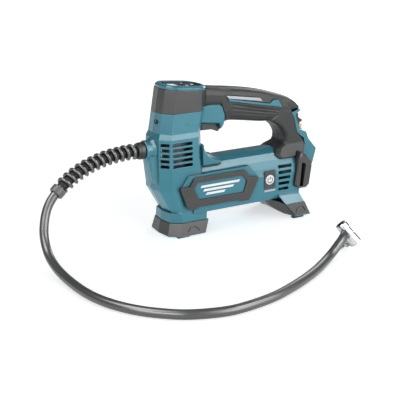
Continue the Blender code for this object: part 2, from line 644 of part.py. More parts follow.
# ------------------------------------------------------------------ battery end
def battery_end():
    rail = prism(RAIL, -16.0, 16.0, "y")
    deck = [(196.5, 90.5), (206.0, 92.0), (216.0, 78.0), (209.0, 58.0), (201.0, 42.0), (187.0, 43.0),
            (192.0, 58.0), (195.5, 74.0)]
    cut(rail, prism(deck, -12.6, 12.6, "y"))
    dress(rail, "battery_rail", TEAL)
    body = [(178.3, 122.6), (179.6, 124.9), (182.3, 125.0), (183.9, 123.2), (183.3, 120.6), (184.6, 118.6),
            (187.0, 117.2), (190.2, 115.0), (187.6, 113.2), (184.6, 112.0), (185.8, 108.4), (188.0, 105.2),
            (190.8, 102.9), (185.2, 104.8), (178.5, 120.8)]
    block = prism(body, -13.0, 13.0, "y")
    for y in (-6.0, 6.0):
        cut(block, box(180.9, 200.0, y - 1.3, y + 1.3, 106.4, 119.0))
    dress(block, "terminal_block", BLACK)
    for number, y in enumerate((-6.0, 6.0), 1):
        blade = [(181.6, 116.4), (185.6, 115.4), (188.4, 111.4), (190.6, 109.4), (189.8, 107.4),
                 (184.0, 107.4)]
        dress(prism(blade, y - 0.6, y + 0.6, "y"), "contact_blade_%d" % number, BRASS)
    for side, name in ((-1, "left"), (1, "right")):
        rings = []
        for y, inset in ((20.8, 0.0), (31.0, 0.0), (33.0, 1.8)):
            rings.append([at(x, side * y, z) for x, z in grown(GUARD, -inset)])
        guard = loft(rings)
        cut(guard, side_plate(GUARD_SLOT, side, 24.0, 40.0))
        cut(guard, motor_tube(100.0, TUBE_REAR + GAP, -GAP), grown_skirt())
        cut(guard, prism(grown(RAIL, GAP), -16.3, 16.3, "y"))
        dress(guard, "guard_" + name, DARK)


# ------------------------------------------------------------------ trigger
def trigger_group():
    outline = [(49.4, 127.0), (75.2, 123.6), (75.4, 117.3), (72.0, 114.6), (64.0, 118.0), (49.6, 118.4)]
    rings = []
    for y, inset in ((-9.2, 0.8), (-8.2, 0.0), (8.2, 0.0), (9.2, 0.8)):
        rings.append([at(x, y, z) for x, z in grown(outline, -inset)])
    trigger = loft(rings)
    join(trigger, box(52.0, 73.0, -8.6, 8.6, 123.0, 130.6))
    cut(trigger, shaft([(0, 4.0), (9, 4.0)], (60.0, 0, 126.0), (0, 0, 1), FINE))
    dress(pivot(trigger, at(60.0, 0, 126.0)), "trigger", DARK)
    switch = box(50.6, 69.4, -7.6, 7.6, 138.2, 147.2)
    join(switch, box(58.4, 61.6, -1.6, 1.6, 136.4, 139.0))
    dress(switch, "trigger_switch", BLACK)
    spring = coil((60.0, 0.0, 126.5), 3.2, 0.4, 5, 11.2, 10)
    dress(spring, "trigger_spring", STEEL)


def coil(start, radius, wire, turns, height, steps):
    """Round-wire compression spring standing on a point."""
    centre = at(*start)
    count = turns * steps
    points = []
    for i in range(count + 1):
        angle = 2 * math.pi * i / steps
        rise = height * i / count
        points.append(centre + Vector((radius * math.cos(angle), radius * math.sin(angle), rise)) * MM)
    return smooth(tube_along(points, wire * MM, 6))


def tube_along(points, radius, sides):
    """Round bar of constant section that follows points."""
    rings = []
    normal = None
    for i, point in enumerate(points):
        ahead = points[min(i + 1, len(points) - 1)] - points[max(i - 1, 0)]
        ahead.normalize()
        if normal is None:
            normal = ahead.orthogonal().normalized()
        normal = (normal - ahead * normal.dot(ahead)).normalized()
        side = ahead.cross(normal)
        rings.append([point + (normal * math.cos(a) + side * math.sin(a)) * radius
                      for a in (2 * math.pi * k / sides for k in range(sides))])
    return loft(rings)


# ------------------------------------------------------------------ hose
HOSE_WAY = ((-21.3, 0, 102.5), (-41, 0, 102.7), (-50.6, 0, 101.9), (-66.2, 0, 100.1), (-81.6, 0, 96.2),
            (-96.6, -1, 91.1), (-109.7, -2, 84.5), (-123.6, -4, 75.4), (-135, -6, 66), (-143.5, -9, 54.4),
            (-149.6, -15, 39.7), (-152.9, -23, 27.8), (-155.4, -38, 15.7), (-157.3, -64, 8.9),
            (-156.4, -95.2, 5.3), (-154.1, -136.1, 5.3), (-144.5, -168.8, 5.3), (-128.6, -196.2, 5.3),
            (-108.2, -216.8, 5.3), (-91.1, -228.5, 5.3), (-64.7, -238, 5.3), (-41.3, -240, 5.3),
            (-5.9, -234.7, 5.3), (18, -226.5, 5.3), (45.2, -214.7, 5.3), (77.5, -197.3, 5.3),
            (107.9, -177.7, 6.6), (120.7, -171.9, 11.2), (130.7, -167.9, 16.4), (134.4, -166.3, 18.1),
            (138.0, -164.1, 19.6), (141.8, -161.4, 20.9), (143.3, -160.4, 21.3))
HOSE_STEP = 10.5               # spacing of the hose's points along its run
CHUCK_PORT = (149.0, -156.1, 23.1)      # where the hose axis meets the barrel's axis
CHUCK_MOUTH = (-0.510, 0.383, 0.770)    # barrel direction, towards the valve
CHUCK_INLET = (0.776, 0.582, 0.243)     # direction the hose arrives in
LEVER_PIVOT = (0.0, 8.5, -12.5)         # in the chuck's own axes
LEVER_REACH = 10.6


def bezier_run():
    """Smooth dense run through the hose route, as points and distances."""
    way = [Vector(p) for p in HOSE_WAY]
    dense = []
    for i in range(len(way) - 1):
        p0, p1, p2, p3 = way[max(i - 1, 0)], way[i], way[i + 1], way[min(i + 2, len(way) - 1)]
        for k in range(8):
            t = k / 8
            dense.append(0.5 * ((2 * p1) + (p2 - p0) * t + (2 * p0 - 5 * p1 + 4 * p2 - p3) * t * t
                                + (3 * p1 - p0 - 3 * p2 + p3) * t ** 3))
    dense.append(way[-1])
    for _ in range(6):
        inner = [(a + 2 * b + c) / 4 for a, b, c in zip(dense, dense[1:], dense[2:])]
        dense = [dense[0]] + inner + [dense[-1]]
    run = [0.0]
    for a, b in zip(dense, dense[1:]):
        run.append(run[-1] + (b - a).length)
    return dense, run


def along_run(dense, run, distance):
    """Point and direction at a distance along the hose."""
    distance = min(max(distance, 0.0), run[-1])
    for i in range(len(run) - 1):
        if run[i + 1] >= distance:
            part = (distance - run[i]) / max(run[i + 1] - run[i], 1e-9)
            ahead = (dense[i + 1] - dense[i]).normalized()
            return dense[i].lerp(dense[i + 1], part), ahead
    return dense[-1], (dense[-1] - dense[-2]).normalized()


def hose_group():
    dense, run = bezier_run()
    total = run[-1]
    count = round(total / HOSE_STEP)
    curve = bpy.data.curves.new("hose", "CURVE")
    curve.dimensions = "3D"
    curve.bevel_depth = HOSE_RADIUS * MM
    curve.bevel_resolution = 2
    curve.use_fill_caps = True
    line = curve.splines.new("POLY")
    line.points.add(count)
    for i in range(count + 1):
        point, _ = along_run(dense, run, total * i / count)
        line.points[i].co = (*at(*point), 1.0)
    hose = bpy.data.objects.new("hose", curve)
    bpy.context.scene.collection.objects.link(hose)
    dress(hose, "hose", BLACK)

    turned = [(0.3, HOSE_RADIUS + 0.4), (0.3, 8.8), (1.0, 9.8), (5.8, 9.8), (6.2, 9.0), (8.4, 9.0),
              (9.0, 8.2), (9.0, HOSE_RADIUS + 0.4)]
    gland = tube_piece(turned, (NOSE_X, 0, BOSS_Z), (-1, 0, 0))
    dress(gland, "hose_gland", BLACK)
    sleeve_start, sleeve_end = 11.4, 106.0
    steps = 12
    points = []
    total_steps = SLEEVE_TURNS * steps
    for i in range(total_steps + 1):
        centre, ahead = along_run(dense, run, sleeve_start + (sleeve_end - sleeve_start) * i / total_steps)
        up = Vector((0, 1, 0))
        side = ahead.cross(up).normalized()
        up = side.cross(ahead).normalized()
        angle = -2 * math.pi * i / steps
        spoke = side * math.cos(angle) + up * math.sin(angle)
        points.append(at(*(centre + spoke * (HOSE_RADIUS + 2 * GAP + SLEEVE_WIRE))))
    dress(smooth(tube_along(points, SLEEVE_WIRE * MM, 6)), "hose_sleeve", BLACK)
    centre, ahead = along_run(dense, run, sleeve_end + 7.6)
    bore = HOSE_RADIUS + 0.6
    profile = [(-4.2, bore), (-4.2, 7.6), (-3.6, 8.2), (3.6, 8.2), (4.2, 7.6), (4.2, bore)]
    dress(tube_piece(profile, centre, ahead), "sleeve_collar", GREY)

    fitting = shaft([(0.3, 5.4), (5.6, 5.4), (5.7, 3.0), (8.0, 3.0), (8.1, 5.4), (14.0, 5.4), (14.2, 3.4),
                     (16.8, 3.4)], (NOSE_X, 0, BOSS_Z), (1, 0, 0), FINE)
    dress(fitting, "hose_fitting", BRASS)


# ------------------------------------------------------------------ chuck
def chuck_axes():
    """Frame of the chuck: x along the arriving hose, z out of the mouth."""
    mouth = Vector(CHUCK_MOUTH).normalized()
    inlet = Vector(CHUCK_INLET)
    inlet = (inlet - mouth * inlet.dot(mouth)).normalized()
    turn = Matrix((inlet, mouth.cross(inlet), mouth)).transposed().to_4x4()
    return Matrix.Translation(at(*CHUCK_PORT)) @ turn


def local_ring(points):
    return [Vector(point) * MM for point in points]


def local_block(x0, x1, y0, y1, z0, z1):
    corners = ((x0, y0), (x1, y0), (x1, y1), (x0, y1))
    return loft([local_ring([(x, y, z) for x, y in corners]) for z in (z0, z1)])


def local_turned(profile, origin, direction, sides=FINE, closed=False):
    """Turned piece about any line, before the chuck is put in place."""
    turn = Vector(direction).normalized().to_track_quat("Z", "Y").to_matrix()
    rings = []
    for along, radius in profile:
        angles = [2 * math.pi * (i + 0.5) / sides for i in range(sides)]
        spokes = [Vector((radius * math.cos(a), radius * math.sin(a), along)) for a in angles]
        rings.append([(Vector(origin) + turn @ spoke) * MM for spoke in spokes])
    return smooth(loft(rings, closed))


def chuck():
    place = chuck_axes()
    px, py, pz = LEVER_PIVOT
    barrel = local_turned([(-18.0, 5.6), (-17.0, 6.8), (-6.0, 6.8), (-5.0, 6.2), (2.5, 6.2), (3.5, 7.0),
                           (9.6, 7.0), (10.6, 6.2)], (0, 0, 0), (0, 0, 1), ROUND)
    join(barrel, local_turned([(-6.5, 3.8), (-1.0, 3.8)], (0, 0, 0), (1, 0, 0)))
    for low, high in ((-4.6, -2.7), (2.7, 4.6)):
        join(barrel, local_turned([(low, 3.0), (high, 3.0)], LEVER_PIVOT, (1, 0, 0)))
        join(barrel, local_block(low, high, 3.0, py, pz - 3.0, pz + 3.0))
    cut(barrel, local_block(-2.6, 2.6, 4.6, 20.0, pz - 4.4, pz + 4.4))
    cut(barrel, local_turned([(-6.0, 1.45), (6.0, 1.45)], LEVER_PIVOT, (1, 0, 0)))
    cut(barrel, local_turned([(1.0, 2.4), (4.4, 2.4), (4.5, 4.6), (9.0, 4.6), (9.1, 3.9), (14.0, 3.9)],
                             (0, 0, 0), (0, 0, 1)))
    seal = local_turned([(4.8, 2.3), (4.8, 4.3), (8.8, 4.3), (8.8, 2.3)], (0, 0, 0), (0, 0, 1), FINE, True)
    pin = local_turned([(-5.7, 1.9), (-4.9, 2.1), (-4.88, 1.15), (4.88, 1.15), (4.9, 2.1), (5.7, 1.9)],
                       LEVER_PIVOT, (1, 0, 0))
    lever = local_turned([(-2.3, 2.7), (2.3, 2.7)], LEVER_PIVOT, (1, 0, 0))
    join(lever, local_block(-2.3, 2.3, py, py + 4.6, pz - 0.9, pz + 0.9))
    tip = py + LEVER_REACH
    blade = ((py + 3.6, 2.4), (py + 4.6, 5.4), (tip - 1.2, 5.8), (tip, 4.6))
    outline = [(x, y) for y, x in blade] + [(-x, y) for y, x in reversed(blade)]
    join(lever, loft([local_ring([(x, y, z) for x, y in outline]) for z in (pz - 0.9, pz + 0.9)]))
    cut(lever, local_turned([(-6.0, 1.45), (6.0, 1.45)], LEVER_PIVOT, (1, 0, 0)))
    for thing, name, finish in ((barrel, "chuck_body", STEEL), (lever, "chuck_lever", STEEL),
                                (pin, "lever_pin", STEEL), (seal, "chuck_seal", BLACK)):
        thing.data.transform(place)
        dress(thing, name, finish)
    pivot(lever, place @ (Vector(LEVER_PIVOT) * MM))


# ------------------------------------------------------------------ pump and motor
def toothed(radius, depth, teeth, x0, x1, z):
    """Gear blank with shallow teeth about an axis along x."""
    ring = []
    for i in range(teeth * 2):
        angle = math.pi * i / teeth
        reach = radius - (depth if i % 2 else 0.0)
        ring.append((reach * math.sin(angle), z + reach * math.cos(angle)))
    return prism(ring, x0, x1, "x")


def motor():
    front = (75.0, 0, MOTOR_Z)
    can = tube_piece([(0.0, 4.0), (0.0, 16.8), (1.2, 18.0), (55.8, 18.0), (57.0, 16.8), (57.0, 4.0),
                      (55.2, 4.0), (55.2, 16.3), (1.8, 16.3), (1.8, 4.0)], front, (1, 0, 0))
    dress(can, "motor_can", CAST)
    rotor = shaft([(-15.0, 1.8), (8.0, 1.8), (8.1, 12.6), (48.0, 12.6), (48.1, 1.8), (72.0, 1.8)],
                  front, (1, 0, 0), FINE)
    join(rotor, toothed(2.75, 0.5, 10, GEAR_X - 2.5, GEAR_X + 2.5, MOTOR_Z))
    dress(pivot(rotor, at(GEAR_X, 0, MOTOR_Z)), "motor_shaft", STEEL)
    fan = shaft([(62.5, 4.6), (70.0, 4.6)], front, (1, 0, 0), FINE)
    for blade in range(7):
        angle = 2 * math.pi * blade / 7
        vane = []
        for x, lean in ((138.2, -0.32), (144.4, 0.32)):
            ring = []
            for reach, offset in ((3.2, -0.5), (19.2, -0.5), (19.2, 0.5), (3.2, 0.5)):
                turn = angle + lean * 0.8
                y = reach * math.sin(turn) + offset * math.cos(turn)
                z = reach * math.cos(turn) - offset * math.sin(turn)
                ring.append(at(x, y, MOTOR_Z + z))
            vane.append(ring)
        join(fan, loft(vane))
    cut(fan, shaft([(50, 2.1), (80, 2.1)], front, (1, 0, 0), FINE))
    dress(pivot(fan, at(141.2, 0, MOTOR_Z)), "cooling_fan", BLACK)


def crank_train():
    pin_z = CRANK_Z + CRANK_THROW
    eye_z = pin_z + 36.0
    crank = shaft([(24.8, 3.0), (70.0, 3.0)], (0, 0, CRANK_Z), (1, 0, 0), FINE)
    join(crank, shaft([(24.8, 10.0), (29.6, 10.0)], (0, 0, CRANK_Z), (1, 0, 0), ROUND))
    join(crank, shaft([(17.0, 2.4), (26.0, 2.4)], (0, 0, pin_z), (1, 0, 0), FINE))
    join(crank, toothed(13.35, 0.6, 45, GEAR_X - 2.5, GEAR_X + 2.5, CRANK_Z))
    dress(pivot(crank, at(27.0, 0, CRANK_Z)), "crankshaft", STEEL)

    block = prism([(-17.0, 29.3), (17.0, 29.3), (13.0, 52.0), (-13.0, 52.0)], 34.0, 42.0, "x")
    cut(block, shaft([(20, 3.3), (60, 3.3)], (0, 0, CRANK_Z), (1, 0, 0), FINE))
    dress(block, "crank_block", CAST)

    rod = washer(2.7, 5.0, 18.2, 24.4, (0, 0, pin_z), (1, 0, 0), FINE)
    join(rod, box(19.6, 23.0, -2.2, 2.2, pin_z + 3.8, eye_z - 3.4))
    join(rod, shaft([(18.6, 4.0), (24.0, 4.0)], (0, 0, eye_z), (1, 0, 0), FINE))
    cut(rod, shaft([(10, 2.3), (30, 2.3)], (0, 0, eye_z), (1, 0, 0), FINE))
    dress(pivot(rod, at(CYLINDER_X, 0, pin_z)), "con_rod", CAST)

    base = (CYLINDER_X, 0, 0)
    piston = shaft([(77.0, 14.0), (101.0, 14.0)], base, (0, 0, 1))
    cut(piston, shaft([(70.0, 12.2), (98.3, 12.2)], base, (0, 0, 1)))
    dress(pivot(piston, at(CYLINDER_X, 0, 90.0)), "piston", CAST)
    barrel = [(64.0, 14.4), (64.0, 18.6), (67.0, 18.6), (67.1, 16.6), (104.0, 16.6), (104.0, 14.4)]
    cylinder = tube_piece(barrel, base, (0, 0, 1))
    dress(cylinder, "cylinder", CAST)
    head_block = box(5.5, 36.5, -15.0, 15.0, 104.3, 112.4)
    for x in (10.0, 15.0, 20.0, 25.0, 30.0):
        cut(head_block, box(x, x + 2.2, -20, 20, 108.6, 114))
    dress(head_block, "cylinder_head", CAST)
    way = ((5.2, 106.4), (3.6, 106.4), (2.0, 106.1), (0.8, 105.3), (0.0, 104.4), (-0.8, 103.5),
           (-1.8, 102.8), (-3.1, 102.5))
    points = [at(x, 0, z) for x, z in way]
    dress(smooth(tube_along(points, 2.0 * MM, 10)), "air_tube", BRASS)


def build():
    clear_scene()
    housing()
    handle()
    head()
    badges()
    power_switch()
    feet()
    lamp()
    screws()
    battery_end()
    trigger_group()
    hose_group()
    chuck()
    motor()
    crank_train()


build()
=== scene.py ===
"""Looks of the cordless hand-held air inflator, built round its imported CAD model.

Lengths in the tables below are millimetres in the CAD's own drawing frame: x from the toe
of the front foot, y from the parting line, z above the table.  at() turns them into metres
in the frame that the CAD bodies use.
"""

import math

import bmesh
import bpy
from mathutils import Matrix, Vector


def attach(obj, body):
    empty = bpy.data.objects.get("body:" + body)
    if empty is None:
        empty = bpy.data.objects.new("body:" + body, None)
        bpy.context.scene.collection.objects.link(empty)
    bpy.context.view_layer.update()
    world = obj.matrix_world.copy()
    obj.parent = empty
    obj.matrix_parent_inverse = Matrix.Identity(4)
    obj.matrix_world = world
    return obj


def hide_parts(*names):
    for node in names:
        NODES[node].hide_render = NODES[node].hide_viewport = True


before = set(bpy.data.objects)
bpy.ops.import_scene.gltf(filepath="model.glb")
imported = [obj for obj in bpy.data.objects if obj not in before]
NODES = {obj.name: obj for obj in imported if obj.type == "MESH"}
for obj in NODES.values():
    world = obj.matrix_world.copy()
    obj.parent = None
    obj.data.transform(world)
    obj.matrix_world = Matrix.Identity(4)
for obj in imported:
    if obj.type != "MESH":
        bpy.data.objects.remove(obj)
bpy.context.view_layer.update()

MM = 0.001
MIDDLE_X = 94.3
WELD = 0.00001


def at(x, y, z):
    return Vector(((x - MIDDLE_X) * MM, y * MM, z * MM))


# ------------------------------------------------------------------ camera, lights, floor
CAMERA_PLACE = (-0.62424, -0.98619, 0.3975)
CAMERA_TURN, CAMERA_TILT = 30.606, 17.702
CAMERA_LENS, CAMERA_SENSOR = 91.54, 36.0


def camera():
    data = bpy.data.cameras.new("camera")
    data.lens = CAMERA_LENS
    data.sensor_width = CAMERA_SENSOR
    data.clip_start = 0.01
    data.clip_end = 60.0
    made = bpy.data.objects.new("camera", data)
    bpy.context.scene.collection.objects.link(made)
    turn, tilt = math.radians(CAMERA_TURN), math.radians(CAMERA_TILT)
    ahead = Vector((math.sin(turn) * math.cos(tilt), math.cos(turn) * math.cos(tilt), -math.sin(tilt)))
    made.location = CAMERA_PLACE
    made.rotation_euler = ahead.to_track_quat("-Z", "Y").to_euler()
    bpy.context.scene.camera = made


def panel_light(name, place, aim, size, power, gloss_only=False):
    data = bpy.data.lights.new(name, "AREA")
    data.shape = "RECTANGLE"
    data.size, data.size_y = size
    data.energy = power
    made = bpy.data.objects.new(name, data)
    bpy.context.scene.collection.objects.link(made)
    made.location = place
    made.rotation_euler = (Vector(aim) - Vector(place)).to_track_quat("-Z", "Y").to_euler()
    made.visible_diffuse = not gloss_only


def studio():
    scene = bpy.context.scene
    scene.view_settings.view_transform = "Standard"
    scene.view_settings.look = "None"
    world = bpy.data.worlds.new("studio")
    world.use_nodes = True
    world.node_tree.nodes["Background"].inputs["Color"].default_value = (0.93, 0.96, 1.0, 1.0)
    world.node_tree.nodes["Background"].inputs["Strength"].default_value = 0.22
    scene.world = world
    panel_light("key_panel", (-1.45, -0.85, 0.9), (0, 0, 0.07), (1.2, 1.2), 9.0)
    panel_light("front_panel", (0.45, -1.75, 0.65), (0, 0, 0.05), (1.5, 0.9), 13.0)
    panel_light("top_panel", (0.1, 0.2, 1.9), (0, 0, 0.0), (1.6, 1.6), 2.5)
    panel_light("rim_panel", (1.3, 0.9, 0.7), (0, 0, 0.08), (0.8, 1.0), 8.0)
    panel_light("near_sheen", (0.95, -1.5, 1.1), (0, 0, 0.08), (2.2, 2.2), 60.0, True)
    panel_light("left_sheen", (-1.75, -1.1, 0.98), (0, 0, 0.1), (1.8, 0.9), 31.0, True)
    panel_light("high_sheen", (0.83, -0.80, 1.34), (0, 0, 0.1), (0.5, 0.5), 5.5, True)
    panel_light("over_sheen", (-1.0, 0.1, 1.5), (-0.12, -0.15, 0), (1.1, 1.1), 28.0, True)


# ------------------------------------------------------------------ materials
class Shader:
    """Small helper that wires one procedural material."""

    def __init__(self, name):
        self.made = bpy.data.materials.new(name)
        self.made.use_nodes = True
        self.tree = self.made.node_tree
        self.main = self.tree.nodes["Principled BSDF"]
        self.coords = self.tree.nodes.new("ShaderNodeTexCoord").outputs["Object"]

    def link(self, source, target):
        self.tree.links.new(source, target)

    def noise(self, scale, detail=3.0, rough=0.55, stretch=None):
        node = self.tree.nodes.new("ShaderNodeTexNoise")
        node.inputs["Scale"].default_value = scale
        node.inputs["Detail"].default_value = detail
        node.inputs["Roughness"].default_value = rough
        source = self.coords
        if stretch:
            move = self.tree.nodes.new("ShaderNodeMapping")
            move.inputs["Scale"].default_value = stretch
            self.link(self.coords, move.inputs["Vector"])
            source = move.outputs["Vector"]
        self.link(source, node.inputs["Vector"])
        return node.outputs["Fac"]

    def ramp(self, value, low, high, to_low, to_high):
        node = self.tree.nodes.new("ShaderNodeMapRange")
        for key, number in (("From Min", low), ("From Max", high), ("To Min", to_low), ("To Max", to_high)):
            node.inputs[key].default_value = number
        self.link(value, node.inputs["Value"])
        return node.outputs["Result"]

    def mix(self, factor, first, second):
        node = self.tree.nodes.new("ShaderNodeMix")
        node.data_type = "RGBA"
        self.link(factor, node.inputs["Factor"])
        for socket, colour in ((node.inputs[6], first), (node.inputs[7], second)):
            if isinstance(colour, tuple):
                socket.default_value = (*colour, 1.0)
            else:
                self.link(colour, socket)
        return node.outputs[2]

    def edges(self, radius=0.0007):
        """One where the surface turns sharply, nought on the flat."""
        soft = self.tree.nodes.new("ShaderNodeBevel")
        soft.samples = 4
        soft.inputs["Radius"].default_value = radius
        geometry = self.tree.nodes.new("ShaderNodeNewGeometry")
        turn = self.tree.nodes.new("ShaderNodeVectorMath")
        turn.operation = "DOT_PRODUCT"
        self.link(soft.outputs["Normal"], turn.inputs[0])
        self.link(geometry.outputs["Normal"], turn.inputs[1])
        return self.ramp(turn.outputs["Value"], 0.98, 0.80, 0.0, 1.0)

    def hollows(self, reach):
        """Mask for painted shade: nought deep inside a crease or a slot, one on open ground."""
        node = self.tree.nodes.new("ShaderNodeAmbientOcclusion")
        node.samples = 8
        node.inputs["Distance"].default_value = reach
        return self.ramp(node.outputs["AO"], 0.35, 0.95, 0.0, 1.0)

    def bump(self, height, strength, distance, radius=0.0):
        node = self.tree.nodes.new("ShaderNodeBump")
        if radius:
            soft = self.tree.nodes.new("ShaderNodeBevel")
            soft.samples = 6
            soft.inputs["Radius"].default_value = radius
            self.link(soft.outputs["Normal"], node.inputs["Normal"])
        node.inputs["Strength"].default_value = strength
        node.inputs["Distance"].default_value = distance
        self.link(height, node.inputs["Height"])
        self.link(node.outputs["Normal"], self.main.inputs["Normal"])


def moulded(name, colour, shade, wear_and_highlight_colour, rough, grain, depth, round_edge=0.0006, gloss=0.5, sole=None):
    """Moulded plastic or rubber: soft colour clouds, lighter edges that are partly rubbed wear and partly
    painted highlight, painted shade in creases and slots, and a fine grain.

    Below the height sole, in metres, the colour turns teal.
    """
    shader = Shader(name)
    clouds = shader.ramp(shader.noise(30.0, 4.0), 0.3, 0.7, 0.0, 1.0)
    body = shader.mix(clouds, shade, colour)
    # Lighter edges: partly rubbed wear, partly a painted highlight along every sharp turn of the surface.
    wear_and_highlight_mask = shader.tree.nodes.new("ShaderNodeMath")
    wear_and_highlight_mask.operation = "MULTIPLY"
    shader.link(shader.edges(), wear_and_highlight_mask.inputs[0])
    shader.link(shader.ramp(shader.noise(220.0, 5.0), 0.35, 0.65, 0.2, 0.8), wear_and_highlight_mask.inputs[1])
    clean = shader.mix(wear_and_highlight_mask.outputs[0], body, wear_and_highlight_colour)
    # Painted shade: the colour falls to a dark tone deep in creases and slots, where shade falls.
    deep = tuple(channel * 0.12 for channel in shade)
    clean = shader.mix(shader.hollows(0.006), deep, clean)
    if sole:
        height = shader.tree.nodes.new("ShaderNodeSeparateXYZ")
        shader.link(shader.coords, height.inputs["Vector"])
        above = shader.ramp(height.outputs["Z"], sole - 0.0001, sole, 0.0, 1.0)
        clean = shader.mix(above, TEAL_COLOUR, clean)
    shader.link(clean, shader.main.inputs["Base Color"])
    shader.main.inputs["Specular IOR Level"].default_value = gloss
    shader.link(shader.ramp(shader.noise(90.0, 6.0), 0.3, 0.7, rough - 0.015, rough + 0.02),
                shader.main.inputs["Roughness"])
    shader.bump(shader.noise(grain, 2.0), 0.35, depth, round_edge)
    return shader.made


def metal(name, colour, shade, rough, stretch):
    """Bare metal with faint streaks, with painted shade in its hollows."""
    shader = Shader(name)
    clouds = shader.ramp(shader.noise(60.0, 5.0), 0.3, 0.7, 0.0, 1.0)
    # Painted shade: the colour darkens deep in hollows and creases.
    deep = tuple(channel * 0.08 for channel in shade)
    body = shader.mix(clouds, shade, colour)
    shader.link(shader.mix(shader.hollows(0.012), deep, body), shader.main.inputs["Base Color"])
    shader.main.inputs["Metallic"].default_value = 1.0
    streaks = shader.noise(500.0, 3.0, 0.5, stretch)
    shader.link(shader.ramp(streaks, 0.3, 0.7, rough - 0.04, rough + 0.08),
                shader.main.inputs["Roughness"])
    shader.bump(streaks, 0.15, 0.00002)
    return shader.made


# The third colour of each moulded finish is its lighter edge tone: partly rubbed wear, partly painted
# highlight.
TEAL_COLOUR = (0.033, 0.205, 0.268)
TEAL = moulded("teal_plastic", TEAL_COLOUR, (0.032, 0.200, 0.262), (0.12, 0.33, 0.40), 0.24, 1800.0,
               0.000006)
ELASTOMER = ((0.043, 0.043, 0.043), (0.039, 0.039, 0.040), (0.11, 0.11, 0.11), 0.32, 2400.0, 0.00002)
DARK = moulded("dark_elastomer", *ELASTOMER)
SOFT = moulded("soft_overmould", (0.037, 0.038, 0.038), (0.033, 0.034, 0.034), (0.10, 0.10, 0.10),
               0.42, 2200.0, 0.00003, 0.0006, 0.28)
FRONT_FOOT = moulded("front_foot_rubber", *ELASTOMER, sole=0.0024)
REAR_FOOT = moulded("rear_foot_rubber", *ELASTOMER, sole=0.0044)
BLACK = moulded("black_plastic", (0.022, 0.022, 0.023), (0.016, 0.016, 0.017), (0.06, 0.06, 0.06),
                0.42, 2000.0, 0.00006)
DEEP_BLACK = moulded("deep_black_plastic", (0.008, 0.008, 0.008), (0.006, 0.006, 0.006),
                     (0.03, 0.03, 0.03), 0.5, 2000.0, 0.00002, 0.0, 0.25)
GREY = moulded("grey_plastic", (0.12, 0.12, 0.12), (0.10, 0.10, 0.10), (0.36, 0.36, 0.36),
               0.42, 2000.0, 0.00006)
PAINT_WHITE = ((0.86, 0.87, 0.88), (0.80, 0.81, 0.82), (0.92, 0.92, 0.92), 0.32, 2000.0)
WHITE = moulded("white_plastic", *PAINT_WHITE, 0.00003)
# Painted glow: the white marks on the display and keys emit light, though they are no lamp.
PAINTED_GLOW_MARKS = moulded("marks_with_painted_glow", *PAINT_WHITE, 0.00001)
PAINTED_GLOW_INPUTS = PAINTED_GLOW_MARKS.node_tree.nodes["Principled BSDF"].inputs
PAINTED_GLOW_INPUTS["Emission Color"].default_value = (0.9, 0.95, 1.0, 1.0)
PAINTED_GLOW_INPUTS["Emission Strength"].default_value = 0.5
SILVER = moulded("silver_trim", (0.50, 0.51, 0.53), (0.44, 0.45, 0.47), (0.7, 0.7, 0.72),
                 0.32, 1600.0, 0.00005)
RUBBER = moulded("hose_rubber", (0.052, 0.052, 0.052), (0.046, 0.046, 0.046), (0.09, 0.09, 0.09),
                 0.30, 1500.0, 0.00001, 0.0, 1.0)
WIRE = moulded("coil_plastic", (0.070, 0.070, 0.070), (0.060, 0.060, 0.060), (0.30, 0.30, 0.30),
               0.28, 1500.0, 0.00001, 0.0, 1.0)
GLASS = moulded("dark_glass", (0.020, 0.021, 0.023), (0.017, 0.018, 0.020), (0.05, 0.05, 0.05),
                0.16, 1500.0, 0.000002)
CHROME = metal("chrome", (0.70, 0.71, 0.73), (0.62, 0.63, 0.65), 0.12, (1.0, 1.0, 0.2))
STEEL = metal("steel", (0.50, 0.51, 0.53), (0.40, 0.41, 0.43), 0.30, (0.2, 1.0, 1.0))
CAST = metal("cast_metal", (0.20, 0.20, 0.21), (0.15, 0.15, 0.16), 0.48, (1.0, 1.0, 1.0))
BRASS = metal("brass", (0.72, 0.52, 0.20), (0.60, 0.42, 0.16), 0.26, (1.0, 0.2, 1.0))
BOARD = moulded("circuit_board", (0.02, 0.15, 0.07), (0.015, 0.11, 0.05), (0.05, 0.3, 0.15),
                0.45, 900.0, 0.0001)

WORN = {
    "teal": (TEAL, ["housing_left", "housing_right", "display_bezel", "stripe_left", "stripe_right",
                    "name_plate_left", "name_plate_right", "battery_rail"]),
    "soft": (SOFT, ["grip_left", "grip_right"]),
    "dark": (DARK, ["head_band", "badge_frame_left", "badge_frame_right", "guard_left", "guard_right",
                    "trigger", "power_plate"]),
    "front foot": (FRONT_FOOT, ["front_foot"]),
    "rear foot": (REAR_FOOT, ["rear_foot"]),
    "glass": (GLASS, ["lamp_lens", "lcd_window", "plus_button", "minus_button", "unit_button"]),
    "black": (BLACK, ["display_panel", "foot_pad_1", "foot_pad_2", "foot_pad_3", "foot_pad_4",
                      "terminal_block", "trigger_switch", "hose_gland", "hose_sleeve", "chuck_seal",
                      "cooling_fan", "air_tube"]),
    "grey": (GREY, ["sleeve_collar"]),
    "white": (WHITE, ["power_button"]),
    "silver": (SILVER, ["trim_left", "trim_right"]),
    "rubber": (RUBBER, ["hose"]),
    "chrome": (CHROME, ["chuck_body", "chuck_lever", "lever_pin"]),
    "steel": (STEEL, ["motor_can", "motor_shaft", "crankshaft", "con_rod", "housing_screw_1",
                      "housing_screw_2", "housing_screw_3", "trigger_spring"]),
    "cast": (CAST, ["crank_block", "cylinder", "cylinder_head", "piston"]),
    "brass": (BRASS, ["hose_fitting", "contact_blade_1", "contact_blade_2"]),
    "board": (BOARD, ["display_board"]),
}

